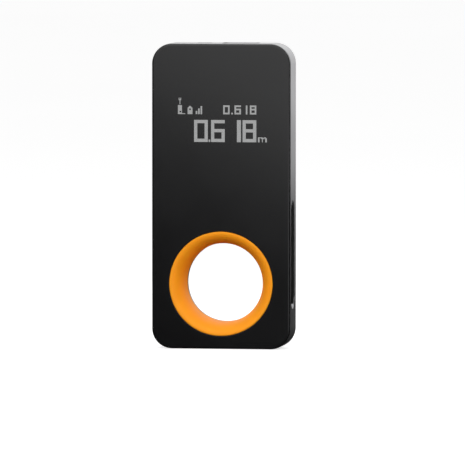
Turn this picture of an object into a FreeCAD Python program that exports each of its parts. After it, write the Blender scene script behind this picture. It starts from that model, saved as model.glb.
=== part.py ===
import FreeCAD, Part
import math
import os
from FreeCAD import Vector

# A pocket laser distance meter with a ring for the index finger. Lengths are in millimetres.
# +Z runs from the base end to the laser end, the display faces -Y, and the measuring key is on
# the +X side. The origin is the middle of the base end.

# case
case_width = 39.4
case_depth = 13.5
case_height = 86.0
case_corner = 5.7
wall = 1.9
rear_round = 2.2
front_edge_round = 0.25
middle_z = case_height / 2
wall_x = case_width / 2
cavity_x = wall_x - wall
cavity_top = case_height - wall
front_y = -case_depth / 2
back_y = case_depth / 2

# layers from the front face inwards
panel_thickness = 1.0
panel_inset = 0.1
panel_round = 0.5
panel_tape_thickness = 0.2
panel_back = front_y + panel_thickness
frame_front = panel_back + panel_tape_thickness
chassis_thickness = 1.25
chassis_gap = 0.1
chassis_back = frame_front + chassis_thickness

# layers from the back face inwards
cover_thickness = 1.2
cover_inset = 2.5
rebate_inset = 2.4
ledge_inset = 3.7
ledge_thickness = 0.8
cover_tape_thickness = 0.15
cover_front = back_y - cover_thickness
ledge_back = cover_front - cover_tape_thickness
ledge_front = ledge_back - ledge_thickness

# finger ring
ring_z = 18.4
ring_outer = 14.7
ring_edge_round = 0.3
ring_bore = 11.15
ring_sleeve = 12.6
ring_front_depth = 6.2
ring_rear = 4.45
trim_bore = 11.2
trim_outer = 12.65
trim_round = 0.6
trim_gap = 0.05
ring_tape_thickness = 0.15
ring_flange_back = frame_front - ring_tape_thickness
panel_hole = ring_outer + 0.05
cover_hole = ring_sleeve + 0.1
collar_inner = ring_sleeve + 0.2
collar_outer = 13.7

# measuring key and its slot, long in Z
key_y = -1.0
key_z = 26.5
slot_mouth = (6.4, 30.6)
slot_mouth_y = -1.5
slot_neck = (5.3, 27.9)
slot_bevel_depth = 0.5
key_cap = (5.18, 27.78)
key_cap_face = wall_x - 0.02
key_edge_round = 0.1
key_flange = (6.3, 29.2)
key_flange_thickness = 0.75
key_flange_gap = 0.05
key_nub_radius = 1.0
key_nub_tip = 16.6
key_pin_radius = 0.6
key_pin_spacing = 22.0
key_pin_tip = 13.95
key_flange_back = cavity_x - key_flange_gap - key_flange_thickness

# key bracket and switch
bracket_x = 14.1
bracket_thickness = 0.4
bracket_height = 36.0
bracket_rear_y = 1.2
bracket_tab_x = 16.7
bracket_tab_height = 2.8
bracket_screw_x = 15.65
guide_hole_radius = 0.68
switch_board_x = bracket_x + bracket_thickness
switch_board_thickness = 0.3
switch_board_height = 8.0
switch_board_width = 4.4
switch_size = 3.2
switch_base_x = switch_board_x + switch_board_thickness
switch_top_x = 16.1
switch_cover_thickness = 0.1
switch_floor = 0.2
switch_cavity_radius = 1.25
plunger_radius = 0.75
plunger_flange_radius = 1.1
plunger_foot_x = 15.5
plunger_flange_thickness = 0.25
dome_radius = 1.15
dome_height = 0.45
dome_thickness = 0.06

# ends and sides
optics_y = 0.6
laser_x = -5.7
aperture_radius = 2.1
laser_window_radius = 2.45
laser_window_thickness = 0.8
receiver_x = 4.7
receiver_opening = (10.4, 7.4)
receiver_corner = 1.6
receiver_step = (11.6, 8.4)
receiver_step_depth = 0.7
usb_y = -1.2
usb_z = 44.0
usb_opening = (3.5, 9.3)
usb_mouth_x = -wall_x + 0.4
usb_length = 7.3
usb_shell_size = (3.2, 8.94)
usb_shell_wall = 0.3
usb_shell_corner = 1.5
usb_tongue_half = (0.35, 3.35)
usb_tongue_recess = 0.7
usb_base_x = usb_mouth_x + 4.8
usb_contact_pitch = 0.5
usb_contact_width = 0.25
usb_contact_height = 0.05
usb_contact_row = 12

# display module
display_z = 65.5
display_size = (34.0, 22.0)
display_front = -5.5
polariser_thickness = 0.2
front_glass_thickness = 0.55
rear_glass_thickness = 0.7
display_ledge = 2.1
display_back = display_front + polariser_thickness + front_glass_thickness + rear_glass_thickness
foam_thickness = 0.4
foam_size = (28.0, 17.0)
display_flex_half = 6.5
driver_chip_z = (0.5, 1.8)
driver_chip_height = 0.4
display_low_z = display_z - display_size[1] / 2
display_high_z = display_z + display_size[1] / 2

# main board, components on its rear side
board_front = -3.6
board_thickness = 0.8
board_back = board_front + board_thickness
board_x = (-14.2, 13.6)
board_z = (34.4, 61.5)
board_tab_x = -16.8
board_tab_height = 10.4
flex_thickness = 0.12

# components on the main board: x span, z span and height above its rear side
connector_z = (55.4, 58.6)
board_parts = {
    "microcontroller": ((-3.5, 3.5), (40.0, 47.0), 0.9),
    "radio_chip": ((2.2, 7.2), (51.5, 56.5), 0.8),
    "radio_shield": ((0.0, 9.8), (49.5, 58.5), 1.3),
    "chip_antenna": ((4.0, 9.0), (35.2, 37.2), 1.1),
    "charger_chip": ((-10.5, -7.5), (50.5, 53.5), 0.75),
    "power_inductor": ((-10.5, -7.5), (55.0, 58.0), 1.2),
    "clock_crystal": ((-3.0, 0.2), (36.0, 37.5), 0.7),
    "battery_connector": ((-6.2, -1.6), connector_z, 1.5),
}
shield_skin = 0.15
passive_start = (6.0, 39.0)
passive_size = (1.0, 0.5)
passive_pitch = 1.7
passive_heights = (0.35, 0.5)

# battery behind the board
battery_x = 13.2
battery_y = (0.75, 5.25)
battery_z = (34.3, 59.3)
battery_board_y = (1.6, 2.4)
battery_board_z = (59.5, 61.7)
battery_board_half = 9.0
battery_corner = 1.8
battery_edge_round = 0.9
battery_tape_size = (20.0, 18.0)
terrace_thickness = 0.4
lead_radius = 0.3
lead_z = 60.9
lead_y = -2.1
lead_x = {"red": -4.6, "black": -3.2}

# optics block at the laser end
optics_z = (63.7, 83.5)
optics_x = (-9.4, 10.7)
optics_depth = (-3.4, 4.5)
optics_board_thickness = 0.8
optics_ear_x = 14.4
optics_ear_z = (76.9, 79.3)
optics_ear_back = -3.2
barrel_outer = 2.6
barrel_inner = 1.95
barrel_z = (67.0, 83.2)
barrel_gap = 0.05
diode_z = barrel_z[0] + 0.2
diode_base = (1.9, 0.6)
diode_can = (1.25, 1.6)
diode_leg_radius = 0.2
diode_leg_ring = 0.9
diode_leg_reach = 1.4
collimator_z = (79.5, 81.1)
collimator_sphere = 4.0
grub_radius = 0.6
set_screw_heights = (71.0, 78.0)
receiver_lens_size = (9.8, 6.8)
receiver_lens_z = (81.0, 83.4)
receiver_lens_sphere = 16.0
receiver_lens_corner = 1.4
tunnel_wide = (8.6, 5.6)
tunnel_narrow = (3.2, 3.2)
pocket_size = (4.4, 4.4)
pocket_depth = 1.9
filter_size = (4.2, 4.2)
filter_lift = 1.3
filter_thickness = 0.55
detector_size = (3.6, 3.6)
detector_height = 1.2
detector_eye = (0.9, 0.2)
timing_chip_size = ((-0.5, 3.5), (0.6, 4.6), 0.8)
optics_flex_x = (0.0, 9.0)

# fasteners: places are (x, z), all screws run along Y
chassis_screw = {"head": 1.25, "head_height": 0.6, "shank": 0.7, "length": 3.5}
small_screw = {"head": 0.95, "head_height": 0.45, "shank": 0.55, "length": 2.4}
ear_screw = {"head": 0.95, "head_height": 0.45, "shank": 0.55, "length": 2.0}
tab_screw = {"head": 0.95, "head_height": 0.45, "shank": 0.55, "length": 1.4}
screw_gap = 0.02
chassis_head_seat = -4.9
corner_lug = (15.2, 4.5)
corner_lug_radius = 2.2
side_lug = (16.0, 52.0)
side_lug_radius = 1.5
corner_lug_z = (corner_lug[1], case_height - corner_lug[1])
chassis_screws = [(side * corner_lug[0], z) for side in (-1, 1) for z in corner_lug_z]
chassis_screws += [(-side_lug[0], side_lug[1]), side_lug]
board_screws = [(-12.5, 36.2), (12.0, 36.2), (-12.5, 52.3), (12.0, 52.3)]
optics_screws = [(-12.6, 78.1), (12.6, 78.1)]
bracket_tab_z = [key_z + side * (bracket_height - bracket_tab_height) / 2 for side in (-1, 1)]
bracket_screws = [(bracket_screw_x, z) for z in bracket_tab_z]


def at(axis, u, v, w):
    """Point with w along axis and u, v along the two other axes, in X, Y, Z order."""
    if axis == "x":
        return Vector(w, u, v)
    if axis == "y":
        return Vector(u, w, v)
    return Vector(u, v, w)


def block(x_span, y_span, z_span):
    """Box between two limits along each axis."""
    sizes = [span[1] - span[0] for span in (x_span, y_span, z_span)]
    return Part.makeBox(*sizes, Vector(x_span[0], y_span[0], z_span[0]))


def rod(axis, centre, radius, span):
    """Cylinder along axis."""
    return Part.makeCylinder(radius, span[1] - span[0], at(axis, *centre, span[0]), at(axis, 0, 0, 1))


def outline(axis, centre, size, radius, level):
    """Rounded rectangle in the plane that axis crosses at level."""
    edges = []
    corners = []
    for turn, (side_u, side_v) in enumerate([(1, 1), (-1, 1), (-1, -1), (1, -1)]):
        corner_u = centre[0] + side_u * (size[0] / 2 - radius)
        corner_v = centre[1] + side_v * (size[1] / 2 - radius)
        corner = []
        for step in range(3):
            angle = math.radians(90 * turn + 45 * step)
            u = corner_u + radius * math.cos(angle)
            v = corner_v + radius * math.sin(angle)
            corner.append(at(axis, u, v, level))
        corners.append(corner)
    for index, corner in enumerate(corners):
        next_start = corners[(index + 1) % 4][0]
        edges.append(Part.Arc(*corner).toShape())
        if corner[2].distanceToPoint(next_start) > 1e-6:
            edges.append(Part.LineSegment(corner[2], next_start).toShape())
    return Part.Wire(edges)


def slab(axis, centre, size, radius, span):
    """Rounded rectangle carried along axis over span."""
    face = Part.Face(outline(axis, centre, size, radius, span[0]))
    return face.extrude(at(axis, 0, 0, span[1] - span[0]))


def case_slab(inset, span):
    """The case's front outline drawn in by inset, carried along Y."""
    size = (case_width - 2 * inset, case_height - 2 * inset)
    return slab("y", (0, middle_z), size, case_corner - inset, span)


def tube(axis, centre, outer, inner, span):
    """Hollow cylinder along axis."""
    return rod(axis, centre, outer, span).cut(rod(axis, centre, inner, span))


def edges_on(shape, axis, level):
    """Edges that lie whole in the plane that axis crosses at level."""
    index = "xyz".index(axis)
    found = []
    for edge in shape.Edges:
        points = [vertex.Point for vertex in edge.Vertexes] + [edge.CenterOfMass]
        if all(abs(point[index] - level) < 1e-6 for point in points):
            found.append(edge)
    return found


def path(points, radius):
    """Straight runs through points, each corner rounded by a tangent arc of the given radius."""
    edges = []
    start = points[0]
    for before, corner, after in zip(points, points[1:], points[2:]):
        arriving = (corner - before).normalize()
        leaving = (after - corner).normalize()
        half_turn = arriving.getAngle(leaving) / 2
        setback = radius * math.tan(half_turn)
        inward = (leaving - arriving).normalize()
        arc_start = corner - arriving * setback
        arc_end = corner + leaving * setback
        arc_middle = corner + inward * (radius / math.cos(half_turn) - radius)
        edges.append(Part.LineSegment(start, arc_start).toShape())
        edges.append(Part.Arc(arc_start, arc_middle, arc_end).toShape())
        start = arc_end
    edges.append(Part.LineSegment(start, points[-1]).toShape())
    return Part.Wire(edges)


def ribbon(points, radius, width_axis, span):
    """Flat flex of even thickness along a flat path, its width running along width_axis over span."""
    width = at(width_axis, 0, 0, 1)
    run = (points[1] - points[0]).normalize()
    across = run.cross(width) * (flex_thickness / 2)
    low = width * span[0]
    high = width * span[1]
    corners = [points[0] - across + low, points[0] + across + low, points[0] + across + high,
               points[0] - across + high]
    section = Part.makePolygon(corners + [corners[0]])
    centre = path([point + low for point in points], radius)
    return centre.makePipeShell([section], True, False)


def screw(place, seat, direction, kind):
    """Cross-head screw: the head stands on the seat plane and the shank runs along direction (+1 or -1)."""
    head_span = sorted([seat, seat - direction * kind["head_height"]])
    shank_span = sorted([seat, seat + direction * kind["length"]])
    shape = rod("y", place, kind["head"], head_span).fuse(rod("y", place, kind["shank"], shank_span))
    top = seat - direction * kind["head_height"]
    recess_span = sorted([top, top + direction * kind["head_height"] / 2])
    arm = kind["head"] * 0.6
    half_slot = kind["head"] * 0.12
    for half_x, half_z in ((arm, half_slot), (half_slot, arm)):
        x_span = (place[0] - half_x, place[0] + half_x)
        z_span = (place[1] - half_z, place[1] + half_z)
        shape = shape.cut(block(x_span, recess_span, z_span))
    return shape


def screws(places, seat, direction, kind):
    """A group of like screws."""
    return Part.makeCompound([screw(place, seat, direction, kind) for place in places])


def screw_holes(places, kind, span):
    """Holes that the shanks of a group of screws fit."""
    return [rod("y", place, kind["shank"] + screw_gap, span) for place in places]


# ---- case ----

def slot_bevel():
    """The key slot's bevelled mouth, nearer the front than its neck, cut a little past the wall's face."""
    past = 0.3
    stretch = 1 + past / slot_bevel_depth
    outer = [neck + (mouth - neck) * stretch for mouth, neck in zip(slot_mouth, slot_neck)]
    outer_y = key_y + (slot_mouth_y - key_y) * stretch
    wide = outline("x", (outer_y, key_z), outer, outer[0] / 2, wall_x + past)
    narrow = outline("x", (key_y, key_z), slot_neck, slot_neck[0] / 2, wall_x - slot_bevel_depth)
    return Part.makeLoft([wide, narrow], True, True)


def frame_openings():
    """Everything cut through the frame's walls."""
    past = 1.0
    centre = (receiver_x, optics_y)
    laser = (laser_x, optics_y)
    cone = Part.makeCone(aperture_radius, aperture_radius + 0.6, 0.6,
                         Vector(laser_x, optics_y, case_height - 0.4))
    neck_span = (cavity_x - past, wall_x - slot_bevel_depth / 2)
    window_span = (cavity_top - past, cavity_top + laser_window_thickness + 0.05)
    step_span = (cavity_top - past, cavity_top + receiver_step_depth)
    return [
        slot_bevel(),
        slab("x", (key_y, key_z), slot_neck, slot_neck[0] / 2, neck_span),
        rod("z", laser, aperture_radius, (cavity_top - past, case_height + past)),
        rod("z", laser, laser_window_radius + 0.05, window_span),
        cone,
        slab("z", centre, receiver_opening, receiver_corner, (cavity_top - past, case_height + past)),
        slab("z", centre, receiver_step, receiver_corner + 0.5, step_span),
        slab("x", (usb_y, usb_z), usb_opening, usb_opening[0] / 2 - 0.01, (-wall_x - past, -cavity_x + past)),
    ]


def frame():
    shell = case_slab(0, (frame_front, back_y))
    shell = shell.makeFillet(rear_round, edges_on(shell, "y", back_y))
    shell = shell.makeFillet(front_edge_round, edges_on(shell, "y", frame_front))
    cavities = [case_slab(wall, (frame_front - 1, ledge_front)),
                case_slab(ledge_inset, (ledge_front - 1, ledge_back + 1)),
                case_slab(rebate_inset, (ledge_back, back_y + 1))]
    shell = shell.cut(cavities)
    lug_span = (chassis_back, ledge_front + 0.1)
    lugs = [rod("y", place, corner_lug_radius, lug_span) for place in chassis_screws[:4]]
    for side in (-1, 1):
        lugs.append(rod("y", (side * side_lug[0], side_lug[1]), side_lug_radius, lug_span))
        web_x = sorted([side * side_lug[0], side * (cavity_x + 0.1)])
        web_z = (side_lug[1] - side_lug_radius, side_lug[1] + side_lug_radius)
        lugs.append(block(web_x, lug_span, web_z))
    holes = screw_holes(chassis_screws, chassis_screw, (chassis_back - 1, chassis_back + 4))
    return shell.fuse(lugs).cut(frame_openings() + holes).removeSplitter()


def front_panel():
    shape = case_slab(panel_inset, (front_y, panel_back))
    shape = shape.makeFillet(panel_round, edges_on(shape, "y", front_y))
    return shape.cut(rod("y", (0, ring_z), panel_hole, (front_y - 1, panel_back + 1)))


def display_window(margin, span):
    """Rectangular opening round the display module."""
    half_x = display_size[0] / 2 + margin
    return block((-half_x, half_x), span, (display_low_z - margin, display_high_z + margin))


def front_panel_tape():
    past = (panel_back - 1, frame_front + 1)
    sheet = case_slab(0.4, (panel_back, frame_front))
    openings = [rod("y", (0, ring_z), panel_hole + 0.3, past), display_window(0.15, past)]
    return sheet.cut(openings)


def back_cover():
    shape = case_slab(cover_inset, (cover_front, back_y))
    shape = shape.makeFillet(0.2, edges_on(shape, "y", back_y))
    return shape.cut(rod("y", (0, ring_z), cover_hole, (cover_front - 1, back_y + 1)))


def back_cover_tape():
    span = (ledge_back, cover_front)
    return case_slab(rebate_inset + 0.2, span).cut(case_slab(ledge_inset, span))


def inner_chassis():
    past = (frame_front - 1, chassis_back + 1)
    plate = case_slab(wall + chassis_gap, (frame_front, chassis_back))
    collar = rod("y", (0, ring_z), collar_outer, (frame_front, cover_front))
    standoffs = [rod("y", place, 1.3, (chassis_back, board_front)) for place in board_screws]
    key_room = block((16.4, cavity_x), past, (key_z - 16, key_z + 16))
    flex_room = block((-7.4, 7.4), past, (display_low_z - 1.1, display_z))
    counterbores = [rod("y", place, chassis_screw["head"] + 0.1, (frame_front - 1, chassis_head_seat))
                    for place in chassis_screws]
    openings = [rod("y", (0, ring_z), collar_inner, (frame_front - 1, back_y)), display_window(0.15, past),
                key_room, flex_room]
    holes = screw_holes(chassis_screws, chassis_screw, past) + screw_holes(board_screws, small_screw, past)
    holes += screw_holes(bracket_screws, tab_screw, past) + screw_holes(optics_screws, ear_screw, past)
    return plate.fuse([collar] + standoffs).cut(openings + counterbores + holes).removeSplitter()


# ---- finger ring ----

def turned_about_ring(edges):
    """Solid of the closed profile that edges make, turned once round the ring's axis."""
    profile = Part.Wire([edge.toShape() for edge in edges])
    return Part.Face(profile).revolve(Vector(0, 0, ring_z), Vector(0, 1, 0), 360)


def ring_point(radius, y):
    return Vector(radius, y, ring_z)


def finger_ring():
    """Soft ring with a flange in the front panel's hole, a rounded front and a straight bore."""
    crest = ring_outer - ring_edge_round
    bore_start = front_y + ring_front_depth
    bend = ring_edge_round * (1 - math.sqrt(0.5))
    ellipse = Part.Ellipse(ring_point(crest, front_y), ring_point(ring_bore, bore_start),
                           ring_point(crest, bore_start))
    edge_start = ring_point(ring_outer, front_y + ring_edge_round)
    return turned_about_ring([
        Part.LineSegment(ring_point(ring_outer, ring_flange_back), edge_start),
        Part.Arc(edge_start, ring_point(ring_outer - bend, front_y + bend), ring_point(crest, front_y)),
        Part.ArcOfEllipse(ellipse, 0, math.pi / 2),
        Part.LineSegment(ring_point(ring_bore, bore_start), ring_point(ring_bore, ring_rear)),
        Part.LineSegment(ring_point(ring_bore, ring_rear), ring_point(ring_sleeve, ring_rear)),
        Part.LineSegment(ring_point(ring_sleeve, ring_rear), ring_point(ring_sleeve, ring_flange_back)),
        Part.LineSegment(ring_point(ring_sleeve, ring_flange_back), ring_point(ring_outer, ring_flange_back)),
    ])


def ring_trim():
    """Metal ring behind the soft one, with a rounded rear mouth, flush with the back."""
    front = ring_rear + trim_gap
    bore_end = back_y - trim_round
    mouth = trim_bore + trim_round
    bend = trim_round * (1 - math.sqrt(0.5))
    return turned_about_ring([
        Part.LineSegment(ring_point(trim_bore, front), ring_point(trim_bore, bore_end)),
        Part.Arc(ring_point(trim_bore, bore_end), ring_point(trim_bore + bend, back_y - bend),
                 ring_point(mouth, back_y)),
        Part.LineSegment(ring_point(mouth, back_y), ring_point(trim_outer, back_y)),
        Part.LineSegment(ring_point(trim_outer, back_y), ring_point(trim_outer, front)),
        Part.LineSegment(ring_point(trim_outer, front), ring_point(trim_bore, front)),
    ])


def ring_adhesive():
    return tube("y", (0, ring_z), ring_outer - 0.2, collar_inner, (ring_flange_back, frame_front))


# ---- measuring key and switch ----

def key_pins(radius, span):
    """Rods at the places of the key's two guide pins."""
    return [rod("x", (key_y, key_z + side * key_pin_spacing / 2), radius, span) for side in (-1, 1)]


def side_key():
    """Oblong cap, flush with the wall, with a flange that stays behind the wall and two guide pins."""
    cap = slab("x", (key_y, key_z), key_cap, key_cap[0] / 2, (key_flange_back, key_cap_face))
    cap = cap.makeFillet(key_edge_round, edges_on(cap, "x", key_cap_face))
    flange_span = (key_flange_back, key_flange_back + key_flange_thickness)
    flange = slab("x", (key_y, key_z), key_flange, key_flange[0] / 2, flange_span)
    nub = rod("x", (key_y, key_z), key_nub_radius, (key_nub_tip, key_flange_back))
    pins = key_pins(key_pin_radius, (key_pin_tip, key_flange_back))
    return cap.fuse([flange, nub] + pins).removeSplitter()


def key_bracket():
    """Steel strip behind the key, with a fixing tab turned out at each end and a hole for each key pin."""
    z_span = (key_z - bracket_height / 2, key_z + bracket_height / 2)
    strip = block((bracket_x, bracket_x + bracket_thickness), (chassis_back, bracket_rear_y), z_span)
    tabs = [block((bracket_x, bracket_tab_x), (chassis_back, chassis_back + bracket_thickness),
                  (z - bracket_tab_height / 2, z + bracket_tab_height / 2)) for z in bracket_tab_z]
    guides = key_pins(guide_hole_radius, (bracket_x - 1, bracket_x + 1))
    holes = screw_holes(bracket_screws, tab_screw, (chassis_back - 1, chassis_back + 1))
    return strip.fuse(tabs).cut(guides + holes).removeSplitter()


def switch_board():
    x_span = (switch_board_x, switch_base_x)
    y_span = (key_y - switch_board_width / 2, key_y + switch_board_width / 2)
    return block(x_span, y_span, (key_z - switch_board_height / 2, key_z + switch_board_height / 2))


def switch_body():
    body = slab("x", (key_y, key_z), (switch_size, switch_size), 0.3, (switch_base_x, switch_top_x))
    cavity_span = (switch_base_x + switch_floor, switch_top_x + 1)
    return body.cut(rod("x", (key_y, key_z), switch_cavity_radius, cavity_span))


def switch_cover():
    span = (switch_top_x, switch_top_x + switch_cover_thickness)
    cover = slab("x", (key_y, key_z), (switch_size, switch_size), 0.3, span)
    return cover.cut(rod("x", (key_y, key_z), plunger_radius + 0.1, (switch_top_x - 1, switch_top_x + 1)))


def switch_plunger():
    stem = rod("x", (key_y, key_z), plunger_radius, (plunger_foot_x, key_nub_tip))
    flange_span = (plunger_foot_x, plunger_foot_x + plunger_flange_thickness)
    return stem.fuse(rod("x", (key_y, key_z), plunger_flange_radius, flange_span)).removeSplitter()


def switch_dome():
    """Thin snap dome: the cap of a hollow sphere, standing on the switch's floor."""
    floor_x = switch_base_x + switch_floor
    sphere_radius = (dome_radius ** 2 + dome_height ** 2) / (2 * dome_height)
    centre = Vector(floor_x + dome_height - sphere_radius, key_y, key_z)
    hollow = Part.makeSphere(sphere_radius - dome_thickness, centre)
    shell = Part.makeSphere(sphere_radius, centre).cut(hollow)
    return shell.common(rod("x", (key_y, key_z), dome_radius + 0.5, (floor_x, floor_x + 1)))


def switch_flex():
    """Flex from the switch board, round the bracket's rear edge, to the rear of the main board."""
    outer_x = switch_board_x + flex_thickness / 2
    inner_x = bracket_x - 0.2
    turn_y = bracket_rear_y + 0.5
    landing_y = board_back + flex_thickness / 2
    landing_x = board_x[1] - 1.2
    riser_y = (-0.1, 1.0)
    flex_z = (40.0, 43.0)
    riser = block((switch_board_x, switch_board_x + flex_thickness), riser_y,
                  (key_z + switch_board_height / 2, flex_z[1]))
    points = [Vector(outer_x, riser_y[0], 0), Vector(outer_x, turn_y, 0), Vector(inner_x, turn_y, 0),
              Vector(inner_x, landing_y, 0), Vector(landing_x, landing_y, 0)]
    return riser.fuse(ribbon(points, 0.3, "z", flex_z)).removeSplitter()


# ---- display ----

def glass_plate(front, thickness, low_z, side_margin):
    """One layer of the display module, from low_z up to near its top edge."""
    half_x = display_size[0] / 2 - side_margin
    return block((-half_x, half_x), (front, front + thickness), (low_z, display_high_z - side_margin))


def display_polariser():
    return glass_plate(display_front, polariser_thickness, display_low_z + display_ledge + 0.3, 0.6)


def display_front_glass():
    front = display_front + polariser_thickness
    return glass_plate(front, front_glass_thickness, display_low_z + display_ledge, 0.3)


def display_rear_glass():
    return glass_plate(display_back - rear_glass_thickness, rear_glass_thickness, display_low_z, 0)


def display_driver_chip():
    ledge_y = display_back - rear_glass_thickness
    z_span = [display_low_z + level for level in driver_chip_z]
    return block((-display_flex_half, display_flex_half), (ledge_y - driver_chip_height, ledge_y), z_span)


def display_flex():
    """Flex from the display's lower ledge, folded round its edge onto the front of the main board."""
    ledge_y = display_back - rear_glass_thickness - flex_thickness / 2
    landing_y = board_front - flex_thickness / 2
    fold_z = display_low_z - 0.8
    points = [Vector(0, ledge_y, display_low_z + 0.4), Vector(0, ledge_y, fold_z),
              Vector(0, landing_y, fold_z), Vector(0, landing_y, display_low_z + 3)]
    return ribbon(points, 0.5, "x", (-display_flex_half, display_flex_half))


def display_foam():
    return slab("y", (0, display_z + 1), foam_size, 1.0, (display_back, display_back + foam_thickness))


# ---- main board ----

def main_board():
    plate = block(board_x, (board_front, board_back), board_z)
    tab_z = (usb_z - board_tab_height / 2, usb_z + board_tab_height / 2)
    tab = block((board_tab_x, board_x[0]), (board_front, board_back), tab_z)
    hole_radius = small_screw["shank"] + 0.15
    holes = [rod("y", place, hole_radius, (board_front - 1, board_back + 1)) for place in board_screws]
    return plate.fuse(tab).cut(holes).removeSplitter()


def on_board(x_span, z_span, height):
    """Plain component body on the rear side of the main board."""
    return block(x_span, (board_back, board_back + height), z_span)


def microcontroller():
    return on_board(*board_parts["microcontroller"])


def radio_chip():
    return on_board(*board_parts["radio_chip"])


def radio_shield():
    """Tin can, open on the board's side."""
    x_span, z_span, height = board_parts["radio_shield"]
    room_x = (x_span[0] + shield_skin, x_span[1] - shield_skin)
    room_z = (z_span[0] + shield_skin, z_span[1] - shield_skin)
    can = on_board(x_span, z_span, height)
    return can.cut(block(room_x, (board_back - 1, board_back + height - shield_skin), room_z))


def chip_antenna():
    return on_board(*board_parts["chip_antenna"])


def charger_chip():
    return on_board(*board_parts["charger_chip"])


def power_inductor():
    return on_board(*board_parts["power_inductor"])


def clock_crystal():
    return on_board(*board_parts["clock_crystal"])


def board_passives():
    """Rows of small resistors and capacitors."""
    pieces = []
    for column in range(4):
        for row in range(5):
            x = passive_start[0] + passive_pitch * column
            z = passive_start[1] + passive_pitch * row
            height = passive_heights[(column + row) % 2]
            pieces.append(on_board((x, x + passive_size[0]), (z, z + passive_size[1]), height))
    return Part.makeCompound(pieces)


def usb_shell():
    """Stamped steel shell, open at its mouth."""
    rear_x = usb_mouth_x + usb_length
    room = [size - 2 * usb_shell_wall for size in usb_shell_size]
    outer = slab("x", (usb_y, usb_z), usb_shell_size, usb_shell_corner, (usb_mouth_x, rear_x))
    inner = slab("x", (usb_y, usb_z), room, usb_shell_corner - usb_shell_wall,
                 (usb_mouth_x - 1, rear_x - usb_shell_wall))
    return outer.cut(inner)


def usb_tongue():
    """Moulded base that fills the rear of the shell, with the tongue standing out of it."""
    gap = 0.05
    base_size = [size - 2 * usb_shell_wall - 2 * gap for size in usb_shell_size]
    base_end = usb_mouth_x + usb_length - usb_shell_wall - gap
    corner = usb_shell_corner - usb_shell_wall - gap
    base = slab("x", (usb_y, usb_z), base_size, corner, (usb_base_x, base_end))
    tongue = block((usb_mouth_x + usb_tongue_recess, usb_base_x),
                   (usb_y - usb_tongue_half[0], usb_y + usb_tongue_half[0]),
                   (usb_z - usb_tongue_half[1], usb_z + usb_tongue_half[1]))
    return base.fuse(tongue).removeSplitter()


def usb_contacts():
    """Two rows of contact strips, one on each face of the tongue."""
    x_span = (usb_mouth_x + usb_tongue_recess + 0.6, usb_base_x - 0.2)
    pieces = []
    for side in (-1, 1):
        face_y = usb_y + side * usb_tongue_half[0]
        y_span = sorted([face_y, face_y + side * usb_contact_height])
        for index in range(usb_contact_row):
            z = usb_z + (index - (usb_contact_row - 1) / 2) * usb_contact_pitch
            pieces.append(block(x_span, y_span, (z - usb_contact_width / 2, z + usb_contact_width / 2)))
    return Part.makeCompound(pieces)


# ---- battery ----

def battery_cell():
    """Pouch cell with the sealed terrace that its small board sits on."""
    size = (2 * battery_x, battery_z[1] - battery_z[0])
    pouch = slab("y", (0, sum(battery_z) / 2), size, battery_corner, battery_y)
    rims = edges_on(pouch, "y", battery_y[0]) + edges_on(pouch, "y", battery_y[1])
    pouch = pouch.makeFillet(battery_edge_round, rims)
    terrace_y = (battery_board_y[1], battery_board_y[1] + terrace_thickness)
    terrace = block((-battery_x + 1, battery_x - 1), terrace_y, (battery_z[1] - 1, battery_board_z[1]))
    return pouch.fuse(terrace).removeSplitter()


def battery_board():
    return block((-battery_board_half, battery_board_half), battery_board_y, battery_board_z)


def battery_tape():
    return slab("y", (0, sum(battery_z) / 2), battery_tape_size, 1.0, (battery_y[1], cover_front))


def battery_connector():
    return on_board(*board_parts["battery_connector"])


def battery_lead(x):
    """Wire from the connector's end, up past the board and back to the battery's own board."""
    start = Vector(x, lead_y, connector_z[1])
    points = [start, Vector(x, lead_y, lead_z), Vector(x, battery_board_y[0], lead_z)]
    centre = path(points, 1.0)
    section = Part.Wire(Part.makeCircle(lead_radius, start, Vector(0, 0, 1)))
    return centre.makePipeShell([section], True, False)


def battery_lead_red():
    return battery_lead(lead_x["red"])


def battery_lead_black():
    return battery_lead(lead_x["black"])


# ---- optics ----

def receiver_tunnel():
    """Light path from the receiver lens, narrowing down to the detector."""
    wide = outline("z", (receiver_x, optics_y), tunnel_wide, 1.0, receiver_lens_z[0])
    narrow = outline("z", (receiver_x, optics_y), tunnel_narrow, 0.6, optics_z[0] + pocket_depth)
    return Part.makeLoft([wide, narrow], True, True)


def optics_bracket():
    body = block(optics_x, optics_depth, optics_z)
    ears = [block((-optics_ear_x, optics_x[0]), (chassis_back, optics_ear_back), optics_ear_z),
            block((optics_x[1], optics_ear_x), (chassis_back, optics_ear_back), optics_ear_z)]
    bridge = block(optics_x, (chassis_back, optics_depth[0]), optics_ear_z)
    centre = (receiver_x, optics_y)
    seat = [size + 0.2 for size in receiver_lens_size]
    bores = [rod("z", (laser_x, optics_y), barrel_outer + barrel_gap, (optics_z[0] - 1, optics_z[1] + 1)),
             receiver_tunnel(),
             slab("z", centre, seat, 1.5, (receiver_lens_z[0], optics_z[1] + 1)),
             slab("z", centre, pocket_size, 0.5, (optics_z[0] - 1, optics_z[0] + pocket_depth))]
    grub_span = (optics_y + 2, optics_depth[1] + 1)
    bores += [rod("y", (laser_x, z), grub_radius + screw_gap, grub_span) for z in set_screw_heights]
    holes = screw_holes(optics_screws, ear_screw, (chassis_back - 1, optics_ear_back + 1))
    return body.fuse(ears + [bridge]).cut(bores + holes).removeSplitter()


def optics_board():
    board = block(optics_x, optics_depth, (optics_z[0] - optics_board_thickness, optics_z[0]))
    radius = diode_leg_radius + 0.05
    return board.cut([rod("z", place, radius, (optics_z[0] - 2, optics_z[0] + 1)) for place in diode_legs()])


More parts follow.
